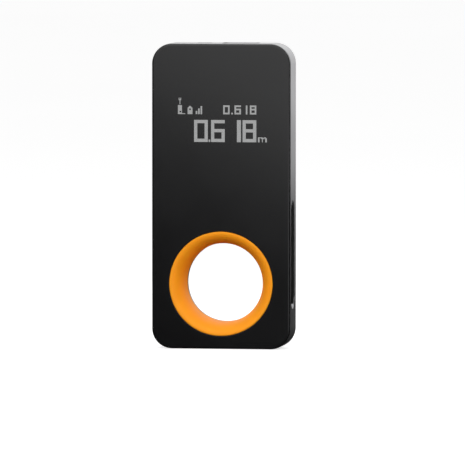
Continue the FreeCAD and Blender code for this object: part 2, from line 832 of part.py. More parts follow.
def diode_legs():
    """Places of the laser diode's three legs."""
    places = []
    for angle in (30, 150, 270):
        turn = math.radians(angle)
        places.append((laser_x + diode_leg_ring * math.cos(turn), optics_y + diode_leg_ring * math.sin(turn)))
    return places


def laser_diode():
    base_top = diode_z + diode_base[1]
    base = rod("z", (laser_x, optics_y), diode_base[0], (diode_z, base_top))
    can = rod("z", (laser_x, optics_y), diode_can[0], (base_top, base_top + diode_can[1]))
    leg_span = (optics_z[0] - diode_leg_reach, diode_z)
    legs = [rod("z", place, diode_leg_radius, leg_span) for place in diode_legs()]
    return base.fuse([can] + legs).removeSplitter()


def laser_barrel():
    return tube("z", (laser_x, optics_y), barrel_outer, barrel_inner, barrel_z)


def laser_collimator():
    """Flat-backed lens whose front is part of a small sphere."""
    centre = Vector(laser_x, optics_y, collimator_z[1] - collimator_sphere)
    sphere = Part.makeSphere(collimator_sphere, centre)
    return rod("z", (laser_x, optics_y), barrel_inner - 0.03, collimator_z).common(sphere)


def laser_set_screws():
    """Two grub screws that lock the laser barrel, each with a slot."""
    pieces = []
    for z in set_screw_heights:
        grub = rod("y", (laser_x, z), grub_radius, (optics_y + barrel_outer, optics_depth[1] - 0.2))
        slot_y = (optics_depth[1] - 0.6, optics_depth[1])
        pieces.append(grub.cut(block((laser_x - 1, laser_x + 1), slot_y, (z - 0.1, z + 0.1))))
    return Part.makeCompound(pieces)


def laser_window():
    span = (cavity_top + 0.05, cavity_top + laser_window_thickness)
    return rod("z", (laser_x, optics_y), laser_window_radius, span)


def receiver_lens():
    """Oblong plano-convex lens."""
    body = slab("z", (receiver_x, optics_y), receiver_lens_size, receiver_lens_corner, receiver_lens_z)
    centre = Vector(receiver_x, optics_y, receiver_lens_z[1] - receiver_lens_sphere)
    return body.common(Part.makeSphere(receiver_lens_sphere, centre))


def receiver_window():
    """Stepped dark window: its flange sits behind the frame and its face fills the opening."""
    centre = (receiver_x, optics_y)
    flange_size = [size - 0.2 for size in receiver_step]
    face_size = [size - 0.2 for size in receiver_opening]
    flange_top = cavity_top + receiver_step_depth - 0.05
    flange = slab("z", centre, flange_size, receiver_corner + 0.4, (cavity_top + 0.05, flange_top))
    face = slab("z", centre, face_size, receiver_corner - 0.1, (flange_top, case_height - 0.2))
    return flange.fuse(face).removeSplitter()


def receiver_filter():
    level = optics_z[0] + filter_lift
    return slab("z", (receiver_x, optics_y), filter_size, 0.4, (level, level + filter_thickness))


def receiver_detector():
    """Square chip with a shallow round eye in its top."""
    top = optics_z[0] + detector_height
    body = slab("z", (receiver_x, optics_y), detector_size, 0.3, (optics_z[0], top))
    return body.cut(rod("z", (receiver_x, optics_y), detector_eye[0], (top - detector_eye[1], top + 1)))


def timing_chip():
    x_span, y_span, height = timing_chip_size
    underside = optics_z[0] - optics_board_thickness
    return block(x_span, y_span, (underside - height, underside))


def optics_flex():
    """Flex from the rear of the main board up onto the underside of the optics board."""
    rise_y = board_back + flex_thickness / 2
    underside = optics_z[0] - optics_board_thickness - flex_thickness / 2
    points = [Vector(0, rise_y, 59.2), Vector(0, rise_y, underside), Vector(0, 0.3, underside)]
    return ribbon(points, 0.6, "x", optics_flex_x)


def chassis_screw_set():
    return screws(chassis_screws, chassis_head_seat, 1, chassis_screw)


def board_screw_set():
    return screws(board_screws, board_back, -1, small_screw)


def optics_screw_set():
    return screws(optics_screws, optics_ear_back, -1, ear_screw)


def bracket_screw_set():
    return screws(bracket_screws, chassis_back + bracket_thickness, -1, tab_screw)


nodes = {
    "frame": frame,
    "front_panel": front_panel,
    "front_panel_tape": front_panel_tape,
    "back_cover": back_cover,
    "back_cover_tape": back_cover_tape,
    "inner_chassis": inner_chassis,
    "chassis_screws": chassis_screw_set,
    "finger_ring": finger_ring,
    "ring_trim": ring_trim,
    "ring_adhesive": ring_adhesive,
    "side_key": side_key,
    "key_bracket": key_bracket,
    "key_bracket_screws": bracket_screw_set,
    "switch_board": switch_board,
    "switch_body": switch_body,
    "switch_cover": switch_cover,
    "switch_plunger": switch_plunger,
    "switch_dome": switch_dome,
    "switch_flex": switch_flex,
    "display_polariser": display_polariser,
    "display_front_glass": display_front_glass,
    "display_rear_glass": display_rear_glass,
    "display_driver_chip": display_driver_chip,
    "display_flex": display_flex,
    "display_foam": display_foam,
    "main_board": main_board,
    "main_board_screws": board_screw_set,
    "microcontroller": microcontroller,
    "radio_chip": radio_chip,
    "radio_shield": radio_shield,
    "chip_antenna": chip_antenna,
    "charger_chip": charger_chip,
    "power_inductor": power_inductor,
    "clock_crystal": clock_crystal,
    "board_passives": board_passives,
    "usb_shell": usb_shell,
    "usb_tongue": usb_tongue,
    "usb_contacts": usb_contacts,
    "battery_cell": battery_cell,
    "battery_board": battery_board,
    "battery_tape": battery_tape,
    "battery_connector": battery_connector,
    "battery_lead_red": battery_lead_red,
    "battery_lead_black": battery_lead_black,
    "optics_bracket": optics_bracket,
    "optics_screws": optics_screw_set,
    "optics_board": optics_board,
    "optics_flex": optics_flex,
    "timing_chip": timing_chip,
    "laser_diode": laser_diode,
    "laser_barrel": laser_barrel,
    "laser_collimator": laser_collimator,
    "laser_set_screws": laser_set_screws,
    "laser_window": laser_window,
    "receiver_lens": receiver_lens,
    "receiver_window": receiver_window,
    "receiver_filter": receiver_filter,
    "receiver_detector": receiver_detector,
}

os.makedirs("parts", exist_ok=True)
for node, make in nodes.items():
    shape = make()
    shape.exportStep("parts/" + node + ".step")
    print(node, "valid" if shape.isValid() else "NOT VALID", len(shape.Solids), round(shape.Volume, 3))
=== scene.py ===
import math

import bpy
import numpy as np
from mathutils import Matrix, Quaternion, Vector


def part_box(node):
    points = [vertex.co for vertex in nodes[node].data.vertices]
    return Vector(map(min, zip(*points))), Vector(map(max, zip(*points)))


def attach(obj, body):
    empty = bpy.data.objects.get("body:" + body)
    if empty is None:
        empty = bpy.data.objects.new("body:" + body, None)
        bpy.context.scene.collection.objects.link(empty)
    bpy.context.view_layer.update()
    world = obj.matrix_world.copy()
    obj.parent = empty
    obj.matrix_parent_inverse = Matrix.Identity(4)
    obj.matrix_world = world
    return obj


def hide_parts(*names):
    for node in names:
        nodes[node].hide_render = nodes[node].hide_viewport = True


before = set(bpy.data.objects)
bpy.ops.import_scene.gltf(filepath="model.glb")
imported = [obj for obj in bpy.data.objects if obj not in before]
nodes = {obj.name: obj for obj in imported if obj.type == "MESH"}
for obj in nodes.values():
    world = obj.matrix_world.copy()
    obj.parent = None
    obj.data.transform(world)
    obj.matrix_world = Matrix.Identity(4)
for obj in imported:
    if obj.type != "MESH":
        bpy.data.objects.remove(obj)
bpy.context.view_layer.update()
mm = 0.001
print("frame loaded,", len(nodes), "pieces")


cameraLook = {
    "azimuth": 8.5,          # degrees to the key side of straight on
    "elevation": 3.2,
    "distance": 2.5,
    "fieldWidth": 0.1312,    # what the picture is across at the meter
    "aimRight": 2.31 * mm,   # where the picture's middle lies, measured on the picture plane
    "aimUp": 32.47 * mm,
}


# The camera looks along -c, where c = (sin a cos e, -cos a cos e, sin e). Its right is (cos a, sin a, 0)
# and its up is right x -c. The aim is right * aimRight + up * aimUp.
def makeCamera(look):
    a = math.radians(look["azimuth"])
    e = math.radians(look["elevation"])
    toCamera = Vector((math.sin(a) * math.cos(e), -math.cos(a) * math.cos(e), math.sin(e)))
    right = Vector((math.cos(a), math.sin(a), 0))
    up = toCamera.cross(right)
    data = bpy.data.cameras.new("meterCamera")
    data.sensor_width = 36
    data.lens = data.sensor_width * look["distance"] / look["fieldWidth"]
    data.clip_start = 0.05
    data.clip_end = 50
    camera = bpy.data.objects.new("meterCamera", data)
    bpy.context.scene.collection.objects.link(camera)
    camera.location = right * look["aimRight"] + up * look["aimUp"] + toCamera * look["distance"]
    camera.rotation_euler = toCamera.to_track_quat("Z", "Y").to_euler()
    bpy.context.scene.camera = camera
    return camera


makeCamera(cameraLook)
print("camera placed")


# A mesh object from an array of points and an array of four-cornered faces.
def quadMesh(name, points, faces, smooth=True):
    mesh = bpy.data.meshes.new(name)
    mesh.vertices.add(len(points))
    mesh.vertices.foreach_set("co", np.asarray(points, np.float32).ravel())
    mesh.loops.add(faces.size)
    mesh.loops.foreach_set("vertex_index", np.asarray(faces, np.int32).ravel())
    mesh.polygons.add(len(faces))
    mesh.polygons.foreach_set("loop_start", np.arange(0, faces.size, 4, dtype=np.int32))
    mesh.update(calc_edges=True)
    mesh.polygons.foreach_set("use_smooth", np.full(len(faces), smooth))
    piece = bpy.data.objects.new(name, mesh)
    bpy.context.scene.collection.objects.link(piece)
    return piece


# Faces of a grid of rows x columns points, joined round both ways, so that it is a closed tube of a ring.
def closedGridFaces(rows, columns):
    row, column = np.meshgrid(np.arange(rows), np.arange(columns), indexing="ij")
    nextRow = (row + 1) % rows
    nextColumn = (column + 1) % columns
    corners = [row * columns + column, nextRow * columns + column,
               nextRow * columns + nextColumn, row * columns + nextColumn]
    return np.stack(corners, axis=-1).reshape(-1, 4)


# A node of one kind at its place in the tree, with any settings of its own.
def newNode(tree, kind, place, **settings):
    node = tree.nodes.new(kind)
    node.location = place
    for key, value in settings.items():
        setattr(node, key, value)
    return node


# Starts a material and sets its shader's plain sockets from the dictionary.
def newMaterial(name, sockets):
    material = bpy.data.materials.new(name)
    material.use_nodes = True
    tree = material.node_tree
    shader = tree.nodes["Principled BSDF"]
    for socket, value in sockets.items():
        shader.inputs[socket].default_value = value
    return material, tree, shader


# Object coordinates stretched by a factor along each axis.
def stretchedCoords(tree, stretch=(1, 1, 1)):
    coords = newNode(tree, "ShaderNodeTexCoord", (-1500, 0))
    mapping = newNode(tree, "ShaderNodeMapping", (-1300, 0))
    mapping.inputs["Scale"].default_value = stretch
    tree.links.new(coords.outputs["Object"], mapping.inputs["Vector"])
    return mapping.outputs["Vector"]


# Noise with lumps about size across: scale = 1 / size.
def noise(tree, coords, size, place, detail=3.0, roughness=0.55):
    node = newNode(tree, "ShaderNodeTexNoise", place)
    node.inputs["Scale"].default_value = 1 / size
    node.inputs["Detail"].default_value = detail
    node.inputs["Roughness"].default_value = roughness
    tree.links.new(coords, node.inputs["Vector"])
    return node.outputs["Fac"]


noiseLow = 0.3     # nearly all of a noise lies between these two
noiseHigh = 0.7


# Value going from low to high as the pattern goes from its darkest to its lightest part.
def spread(tree, pattern, low, high, place):
    node = newNode(tree, "ShaderNodeMapRange", place)
    node.inputs["From Min"].default_value = noiseLow
    node.inputs["From Max"].default_value = noiseHigh
    node.inputs["To Min"].default_value = low
    node.inputs["To Max"].default_value = high
    tree.links.new(pattern, node.inputs["Value"])
    return node.outputs["Result"]


# Colour going from one to the other with the pattern.
def blendColours(tree, pattern, first, second, place):
    node = newNode(tree, "ShaderNodeMix", place, data_type="RGBA")
    node.inputs["A"].default_value = (*first, 1)
    node.inputs["B"].default_value = (*second, 1)
    tree.links.new(pattern, node.inputs["Factor"])
    return node.outputs["Result"]


# Raises the surface by height x depth, weighed by the strength.
def bump(tree, shader, height, strength, depth, place):
    node = newNode(tree, "ShaderNodeBump", place)
    node.inputs["Strength"].default_value = strength
    node.inputs["Distance"].default_value = depth
    tree.links.new(height, node.inputs["Height"])
    tree.links.new(node.outputs["Normal"], shader.inputs["Normal"])


# Each channel of the colour times the factor, 1 at most.
def shade(colour, factor):
    return tuple(min(1.0, channel * factor) for channel in colour)


usualLook = {
    "metallic": 0.0,
    "ior": 1.5,
    "roughness": 0.5,
    "roughSpread": 0.04,
    "tone": 0.06,
    "cloudSize": 6 * mm,
    "grainSize": 0.12 * mm,
    "grainStrength": 0.4,
    "grainDepth": 0.01 * mm,
    "stretch": (1, 1, 1),
    "sockets": {},
}


# A finish in one recipe: cloudy colour and roughness from a broad noise, and a bump from a fine grain. What a
# look leaves out comes from usualLook.
# colour = base x (1 - tone ... 1 + tone), roughness = middle -/+ roughSpread, height = grain x grainDepth.
def makeFinish(name, ownLook):
    look = {**usualLook, **ownLook}
    sockets = {"Metallic": look["metallic"], "IOR": look["ior"], **look["sockets"]}
    material, tree, shader = newMaterial(name, sockets)
    coords = stretchedCoords(tree, look["stretch"])
    clouds = noise(tree, coords, look["cloudSize"], (-1050, 250))
    grain = noise(tree, coords, look["grainSize"], (-1050, -150), detail=2.0)
    cloudLevel = spread(tree, clouds, 0, 1, (-800, 250))
    darker = shade(look["colour"], 1 - look["tone"])
    lighter = shade(look["colour"], 1 + look["tone"])
    tree.links.new(blendColours(tree, cloudLevel, darker, lighter, (-550, 250)), shader.inputs["Base Color"])
    smoothest = look["roughness"] - look["roughSpread"]
    roughest = look["roughness"] + look["roughSpread"]
    tree.links.new(spread(tree, clouds, smoothest, roughest, (-550, 0)), shader.inputs["Roughness"])
    bump(tree, shader, grain, look["grainStrength"], look["grainDepth"], (-300, -200))
    return material, tree, shader


# Gives every named piece of the frame one material.
def dress(nodeNames, material):
    for nodeName in nodeNames:
        mesh = nodes[nodeName].data
        mesh.materials.clear()
        mesh.materials.append(material)


frameLook = {
    "colour": (0.46, 0.46, 0.47),
    "metallic": 1.0,
    "roughness": 0.36,
    "roughSpread": 0.03,
    "tone": 0.03,
    "cloudSize": 9 * mm,
    "grainSize": 0.09 * mm,     # bead-blasted pits
    "grainStrength": 0.35,
    "grainDepth": 0.006 * mm,
}

panelLook = {
    "colour": (0.0038, 0.0038, 0.0042),
    "roughness": 0.22,
    "roughSpread": 0.015,
    "tone": 0.1,
    "cloudSize": 14 * mm,
    "grainSize": 0.05 * mm,
    "grainStrength": 0.12,
    "grainDepth": 0.002 * mm,
}

keyLook = {
    "colour": (0.004, 0.004, 0.004),
    "roughness": 0.75,
    "roughSpread": 0.04,
    "tone": 0.12,
    "sockets": {"Specular IOR Level": 0.04},
    "cloudSize": 4 * mm,
    "grainSize": 0.11 * mm,
    "grainStrength": 0.3,
    "grainDepth": 0.006 * mm,
}

coverLook = {
    "colour": (0.014, 0.014, 0.015),
    "roughness": 0.5,
    "roughSpread": 0.05,
    "tone": 0.12,
    "cloudSize": 11 * mm,
    "grainSize": 0.22 * mm,     # spark-eroded leather-fine texture
    "grainStrength": 0.6,
    "grainDepth": 0.02 * mm,
}

ringLook = {
    "colour": (0.95, 0.325, 0.010),
    "roughness": 0.6,
    "roughSpread": 0.05,
    "tone": 0.03,
    "cloudSize": 5 * mm,
    "grainSize": 0.08 * mm,
    "grainStrength": 0.3,
    "grainDepth": 0.006 * mm,
    "sockets": {"Subsurface Weight": 0.15, "Subsurface Radius": (1.0, 0.35, 0.08), "Subsurface Scale": 0.0012,
                "Specular IOR Level": 0.25},
}

dress(["frame", "ring_trim"], makeFinish("blastedAluminium", frameLook)[0])
dress(["side_key"], makeFinish("keyPlastic", keyLook)[0])
dress(["back_cover"], makeFinish("backCoverPlastic", coverLook)[0])
ringSilicone = makeFinish("ringSilicone", ringLook)[0]
panelGlass = makeFinish("satinFrontGlass", panelLook)[0]
print("outer finishes made")


usualGlass = {
    "haze": 0.02,           # how much the roughness varies
    "hazeSize": 1.5 * mm,
    "darkest": 0.94,        # the tint's factor where the haze is thin
    "ior": 1.5,
    "film": 0.0,
    "filmColour": (1, 1, 1),
    "sockets": {},
}

glassLooks = {
    "clearLens": {"tint": (0.93, 0.95, 0.98), "roughness": 0.01, "clear": 1.0, "film": 0.4,
                  "filmColour": (0.6, 0.5, 1.0)},
    "filterWindow": {"tint": (0.05, 0.006, 0.008), "roughness": 0.14, "clear": 0.55, "ior": 1.25},
    "bandFilter": {"tint": (0.35, 0.03, 0.05), "roughness": 0.02, "clear": 0.8},
    "polariser": {"tint": (0.06, 0.062, 0.07), "roughness": 0.1, "clear": 0.3},
    "displayGlass": {"tint": (0.5, 0.55, 0.55), "roughness": 0.03, "clear": 0.7},
    "laserLens": {"tint": (0.95, 0.4, 0.4), "roughness": 0.02, "clear": 0.8,
                  "sockets": {"Emission Color": (1.0, 0.03, 0.02, 1), "Emission Strength": 0.6}},
}

glassPieces = {
    "clearLens": ["laser_window", "receiver_lens"],
    "filterWindow": ["receiver_window"],
    "bandFilter": ["receiver_filter"],
    "polariser": ["display_polariser"],
    "displayGlass": ["display_front_glass", "display_rear_glass"],
    "laserLens": ["laser_collimator"],
}


# Clear or tinted glass: light passes by the share "clear", and a thin film gives a sheen of colour.
# tint = tint x (darkest ... 1), roughness = roughness ... roughness + haze.
def makeGlass(name, ownLook):
    look = {**usualGlass, **ownLook}
    material, tree, shader = newMaterial(name, {
        "Transmission Weight": look["clear"], "IOR": look["ior"], "Coat Weight": look["film"],
        "Coat Tint": (*look["filmColour"], 1), **look["sockets"]})
    haze = noise(tree, stretchedCoords(tree), look["hazeSize"], (-1050, 200))
    level = spread(tree, haze, 0, 1, (-800, 200))
    tint = blendColours(tree, level, shade(look["tint"], look["darkest"]), look["tint"], (-550, 200))
    tree.links.new(tint, shader.inputs["Base Color"])
    rough = spread(tree, haze, look["roughness"], look["roughness"] + look["haze"], (-550, 0))
    tree.links.new(rough, shader.inputs["Roughness"])
    return material


for finish, look in glassLooks.items():
    dress(glassPieces[finish], makeGlass(finish, look))
print("glass made")


innerLooks = {
    "chassisPlastic": {"colour": (0.035, 0.035, 0.04), "roughness": 0.55, "grainSize": 0.2 * mm,
                       "grainDepth": 0.012 * mm, "tone": 0.1},
    "mountingTape": {"colour": (0.018, 0.018, 0.018), "roughness": 0.7, "grainSize": 0.4 * mm,
                     "grainStrength": 0.8, "grainDepth": 0.02 * mm},
    "openFoam": {"colour": (0.03, 0.03, 0.033), "roughness": 0.9, "grainSize": 0.5 * mm, "grainStrength": 1.0,
                 "grainDepth": 0.08 * mm, "tone": 0.2},
    "platedSteel": {"colour": (0.6, 0.6, 0.58), "metallic": 1.0, "roughness": 0.3, "roughSpread": 0.08,
                    "stretch": (1, 1, 0.06), "grainSize": 0.08 * mm, "grainDepth": 0.004 * mm},
    "turnedBrass": {"colour": (0.72, 0.5, 0.2), "metallic": 1.0, "roughness": 0.25, "stretch": (0.1, 0.1, 1),
                    "grainSize": 0.1 * mm, "grainDepth": 0.005 * mm},
    "goldPlate": {"colour": (0.9, 0.62, 0.22), "metallic": 1.0, "roughness": 0.22, "grainSize": 0.05 * mm,
                  "grainDepth": 0.002 * mm},
    "chipPackage": {"colour": (0.016, 0.016, 0.017), "roughness": 0.6, "grainSize": 0.06 * mm,
                    "grainDepth": 0.006 * mm, "tone": 0.15},
    "firedCeramic": {"colour": (0.62, 0.58, 0.5), "roughness": 0.45, "grainSize": 0.1 * mm},
    "castBracket": {"colour": (0.03, 0.03, 0.032), "roughness": 0.5, "grainSize": 0.3 * mm,
                    "grainStrength": 0.7, "grainDepth": 0.02 * mm, "tone": 0.15},
    "redInsulation": {"colour": (0.5, 0.012, 0.012), "roughness": 0.4, "stretch": (1, 1, 0.2)},
    "blackInsulation": {"colour": (0.012, 0.012, 0.012), "roughness": 0.4, "stretch": (1, 1, 0.2)},
    "whiteNylon": {"colour": (0.74, 0.72, 0.66), "roughness": 0.5, "grainSize": 0.15 * mm},
}

innerPieces = {
    "chassisPlastic": ["inner_chassis"],
    "mountingTape": ["front_panel_tape", "back_cover_tape", "ring_adhesive"],
    "openFoam": ["display_foam", "battery_tape"],
    "platedSteel": ["chassis_screws", "key_bracket", "key_bracket_screws", "switch_cover", "switch_dome",
                    "main_board_screws", "radio_shield", "clock_crystal", "usb_shell", "optics_screws",
                    "laser_set_screws"],
    "turnedBrass": ["laser_barrel"],
    "goldPlate": ["usb_contacts", "laser_diode"],
    "chipPackage": ["switch_body", "display_driver_chip", "microcontroller", "radio_chip", "charger_chip",
                    "usb_tongue", "timing_chip", "receiver_detector"],
    "firedCeramic": ["chip_antenna", "board_passives"],
    "castBracket": ["optics_bracket", "power_inductor"],
    "redInsulation": ["battery_lead_red"],
    "blackInsulation": ["battery_lead_black"],
    "whiteNylon": ["switch_plunger", "battery_connector"],
}

for finish, look in innerLooks.items():
    dress(innerPieces[finish], makeFinish(finish, look)[0])


# Green solder mask over copper: a brick pattern stands for the tracks and pads, lighter and slightly raised.
def makeBoard():
    material, tree, shader = makeFinish("boardLaminate", {"colour": (0.012, 0.07, 0.03), "roughness": 0.35,
                                                          "grainSize": 0.1 * mm})
    coords = stretchedCoords(tree)
    turned = newNode(tree, "ShaderNodeMapping", (-1100, 600))
    turned.inputs["Rotation"].default_value = (math.radians(90), 0, 0)
    tree.links.new(coords, turned.inputs["Vector"])
    tracks = newNode(tree, "ShaderNodeTexBrick", (-900, 600), offset=0.35, offset_frequency=3)
    settings = {"Color1": (0.02, 0.13, 0.05, 1), "Color2": (0.012, 0.075, 0.03, 1),
                "Mortar": (0.03, 0.2, 0.08, 1), "Scale": 1 / (2 * mm), "Mortar Size": 0.06,
                "Mortar Smooth": 0.1}
    for socket, value in settings.items():
        tracks.inputs[socket].default_value = value
    tree.links.new(turned.outputs["Vector"], tracks.inputs["Vector"])
    tree.links.new(tracks.outputs["Color"], shader.inputs["Base Color"])
    bump(tree, shader, tracks.outputs["Fac"], 0.5, 0.02 * mm, (-300, 600))
    return material


# Amber film with copper tracks: stripes across the flex, from a band wave.
def makeFlex():
    material, tree, shader = makeFinish("flexFilm", {"colour": (0.5, 0.2, 0.03), "roughness": 0.3})
    coords = stretchedCoords(tree)
    wave = newNode(tree, "ShaderNodeTexWave", (-900, 600), wave_type="BANDS", bands_direction="X")
    wave.inputs["Scale"].default_value = 1 / (3 * mm)
    tree.links.new(coords, wave.inputs["Vector"])
    stripes = blendColours(tree, wave.outputs["Fac"], (0.55, 0.22, 0.03), (0.28, 0.1, 0.02), (-600, 600))
    tree.links.new(stripes, shader.inputs["Base Color"])
    return material


# Soft pouch foil: cloudy silver with the broad creases of a pouch.
def makeFoil():
    material, tree, shader = makeFinish("pouchFoil", {
        "colour": (0.62, 0.63, 0.66), "metallic": 1.0, "roughness": 0.34, "cloudSize": 4 * mm})
    coords = stretchedCoords(tree)
    creases = noise(tree, coords, 5 * mm, (-900, -500), detail=6.0)
    bump(tree, shader, creases, 0.6, 0.15 * mm, (-300, -500))
    return material


dress(["main_board", "switch_board", "battery_board", "optics_board"], makeBoard())
dress(["display_flex", "switch_flex", "optics_flex"], makeFlex())
dress(["battery_cell"], makeFoil())
print("inner finishes made")


ringPiece = {
    "bore": 11.15 * mm,
    "edgeRound": 0.3 * mm,
    "frontDepth": 6.2 * mm,
    "rearRound": 0.12 * mm,
    "sleeve": 12.6 * mm,
    "flangeDepth": 1.05 * mm,
    "seamHeight": 0.05 * mm,    # the mould's parting line inside the bore
    "seamWidth": 0.12 * mm,
    "support": 0.05 * mm,       # a row of points this near a sharp corner keeps it sharp
    "sleeveShort": 0.02 * mm,   # how much sooner the sleeve ends than the bore
    "roundSteps": 14,
    "sweepSteps": 48,
    "turns": 256,
}


# The ring's profile, radius against depth y, run once round: a quarter round at the outer edge, a quarter
# ellipse in to the bore, the bore with a low bell-shaped seam, a small quarter round, and back along the
# sleeve.
def ringProfile(piece, outer, frontY, backY):
    crest = outer - piece["edgeRound"]
    boreStart = frontY + piece["frontDepth"]
    boreEnd = backY - piece["rearRound"]
    flare = piece["bore"] + piece["rearRound"]
    flangeBack = frontY + piece["flangeDepth"]
    quarter = np.linspace(0, math.pi / 2, piece["roundSteps"])
    edgeR = crest + piece["edgeRound"] * np.cos(quarter)
    edgeY = frontY + piece["edgeRound"] * (1 - np.sin(quarter))
    sweep = np.linspace(0, math.pi / 2, piece["sweepSteps"])[1:]
    frontR = crest - (crest - piece["bore"]) * np.sin(sweep)
    frontArcY = boreStart - piece["frontDepth"] * np.cos(sweep)
    boreY = np.linspace(boreStart, boreEnd, piece["sweepSteps"])[1:]
    seamY = (boreStart + boreEnd) / 2
    boreR = piece["bore"] - piece["seamHeight"] * np.exp(-((boreY - seamY) / piece["seamWidth"]) ** 2)
    flareR = flare - piece["rearRound"] * np.cos(quarter[1:])
    flareY = boreEnd + piece["rearRound"] * np.sin(quarter[1:])
    restR = np.array([piece["sleeve"], piece["sleeve"], outer - piece["support"], outer])
    restY = np.array([backY - piece["sleeveShort"], flangeBack, flangeBack, flangeBack - piece["support"]])
    return (np.concatenate([edgeR, frontR, boreR, flareR, restR]),
            np.concatenate([edgeY, frontArcY, boreY, flareY, restY]))


# Each profile point (r, y) at turn t is (r cos t, y, centre + r sin t).
def makeRing(piece):
    low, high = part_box("finger_ring")
    centreZ = (low.z + high.z) / 2
    radius, depth = ringProfile(piece, (high.x - low.x) / 2, low.y, high.y)
    turn = np.linspace(0, 2 * math.pi, piece["turns"], endpoint=False)
    r, t = np.meshgrid(radius, turn, indexing="ij")
    y = np.broadcast_to(depth[:, None], r.shape)
    points = np.stack([r * np.cos(t), y, centreZ + r * np.sin(t)], axis=-1).reshape(-1, 3)
    faces = closedGridFaces(len(radius), piece["turns"])[:, ::-1]    # this way round they face outward
    ring = quadMesh("fingerRing", points, faces)
    ring.data.materials.append(ringSilicone)
    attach(ring, "case")
    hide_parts("finger_ring")
    return ring


makeRing(ringPiece)
print("finger ring made")


panelPiece = {
    "corner": 5.6 * mm,
    "edgeRound": 0.5 * mm,
    "ringHole": 14.75 * mm,
    "holeBreak": 0.08 * mm,      # the little chamfer round the hole
    "support": 0.04 * mm,        # a row of points this near each edge keeps the flat face flat
    "sunk": 0.009 * mm,          # how far the face lies behind the lit dots
    "cornerSteps": 28,
    "longSteps": 60,
    "shortSteps": 24,
    "roundSteps": 10,
    "acrossSteps": 14,
}


# A rectangle with round corners as two arrays: the place each point starts from, on the rectangle through
# the corners' centres, and the way it goes out from there. point = start + way * radius, so any radius gives
# an offset.
def roundedLoop(centre, halfWide, halfHigh, piece):
    corners = [(1, 1), (-1, 1), (-1, -1), (1, -1)]
    starts, ways = [], []
    for index, (sideX, sideZ) in enumerate(corners):
        here = centre + np.array([sideX * halfWide, sideZ * halfHigh])
        following = corners[(index + 1) % len(corners)]
        there = centre + np.array([following[0] * halfWide, following[1] * halfHigh])
        angle = math.pi / 2 * (index + np.linspace(0, 1, piece["cornerSteps"]))
        starts.append(np.broadcast_to(here, (len(angle), 2)))
        ways.append(np.stack([np.cos(angle), np.sin(angle)], axis=-1))
        steps = piece["shortSteps"] if index % 2 == 0 else piece["longSteps"]
        share = np.linspace(0, 1, steps + 2)[1:-1, None]
        starts.append(here + (there - here) * share)
        ways.append(np.broadcast_to(ways[-1][-1], (steps, 2)))
    return np.concatenate(starts), np.concatenate(ways)


# The glass is one closed skin of loops: out over the face from the ring's hole to the outline, round the
# edge, back to the rear face and in to the hole again. On the face, loop = hole circle * (1 - s) +
# outline * s.
def makePanel(piece):
    low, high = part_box("front_panel")
    ringLow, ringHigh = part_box("finger_ring")
    faceY = low.y + piece["sunk"]
    radius = piece["corner"]
    centre = np.array([(low.x + high.x) / 2, (low.z + high.z) / 2])
    starts, ways = roundedLoop(centre, (high.x - low.x) / 2 - radius, (high.z - low.z) / 2 - radius, piece)
    hole = np.array([(ringLow.x + ringHigh.x) / 2, (ringLow.z + ringHigh.z) / 2])
    outward = starts + ways * radius - hole
    spokes = outward / np.linalg.norm(outward, axis=1, keepdims=True)
    innerEdge = piece["ringHole"] + piece["holeBreak"]
    outerEdge = radius - piece["edgeRound"]
    loops, depths = [], []

    def addLoop(points, depth):
        loops.append(points)
        depths.append(depth)

    first = hole + spokes * (innerEdge + piece["support"])
    last = starts + ways * (outerEdge - piece["support"])
    addLoop(hole + spokes * innerEdge, faceY)
    for share in np.linspace(0, 1, piece["acrossSteps"]):
        addLoop(first * (1 - share) + last * share, faceY)
    for turn in np.linspace(0, math.pi / 2, piece["roundSteps"]):
        addLoop(starts + ways * (outerEdge + piece["edgeRound"] * math.sin(turn)),
                faceY + piece["edgeRound"] * (1 - math.cos(turn)))
    addLoop(starts + ways * radius, faceY + piece["edgeRound"] + piece["support"])
    addLoop(starts + ways * radius, high.y - piece["support"])
    addLoop(starts + ways * radius, high.y)
    addLoop(starts + ways * (radius - piece["support"]), high.y)
    addLoop(hole + spokes * (piece["ringHole"] + piece["support"]), high.y)
    addLoop(hole + spokes * piece["ringHole"], high.y)
    addLoop(hole + spokes * piece["ringHole"], high.y - piece["support"])
    addLoop(hole + spokes * piece["ringHole"], faceY + piece["holeBreak"] + piece["support"])
    addLoop(hole + spokes * piece["ringHole"], faceY + piece["holeBreak"])
    flat = np.stack(loops)
    y = np.broadcast_to(np.array(depths)[:, None], flat.shape[:2])
    points = np.stack([flat[..., 0], y, flat[..., 1]], axis=-1).reshape(-1, 3)
    panel = quadMesh("frontPanel", points, closedGridFaces(len(loops), len(starts)))
    panel.data.materials.append(panelGlass)
    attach(panel, "case")
    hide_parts("front_panel")
    return panel


makePanel(panelPiece)
print("front panel made")


displayPiece = {
    "columns": 128,
    "rows": 64,
    "width": 29.4 * mm,        # the lit area, in the middle of the polariser's width
    "below": 0.3 * mm,         # from the polariser's lower edge to the lit area
    "fill": 0.93,              # lit share of a dot's width
    "depth": 0.007 * mm,
    "glow": 0.38,
    "bigSize": (17, 27, 4, 5),     # width, height, stroke and the width of a 1, in dots
    "bigRow": 32,
    "bigFigures": (("0", 31), ("6", 52), ("1", 84), ("8", 91)),      # each with its first column
    "bigPoint": (56, 49, 3),       # row, column and height, two dots wide
    "smallSize": (8, 11, 2, 2),
    "smallRow": 14,
    "smallFigures": (("0", 67), ("6", 81), ("1", 95), ("8", 100)),
    "smallPoint": (23, 77, 2),
    "meterPlace": (11, 5),         # column and row of a pictogram's upper left dot
    "batteryPlace": (23, 15),
    "signalPlace": (33, 15),
    "unitPlace": (110, 53),
}

# Which of seven strokes each figure has: top, upper left, upper right, middle, lower left, lower right and
# bottom.
strokesOf = {"0": "1110111", "6": "1101111", "8": "1111111"}

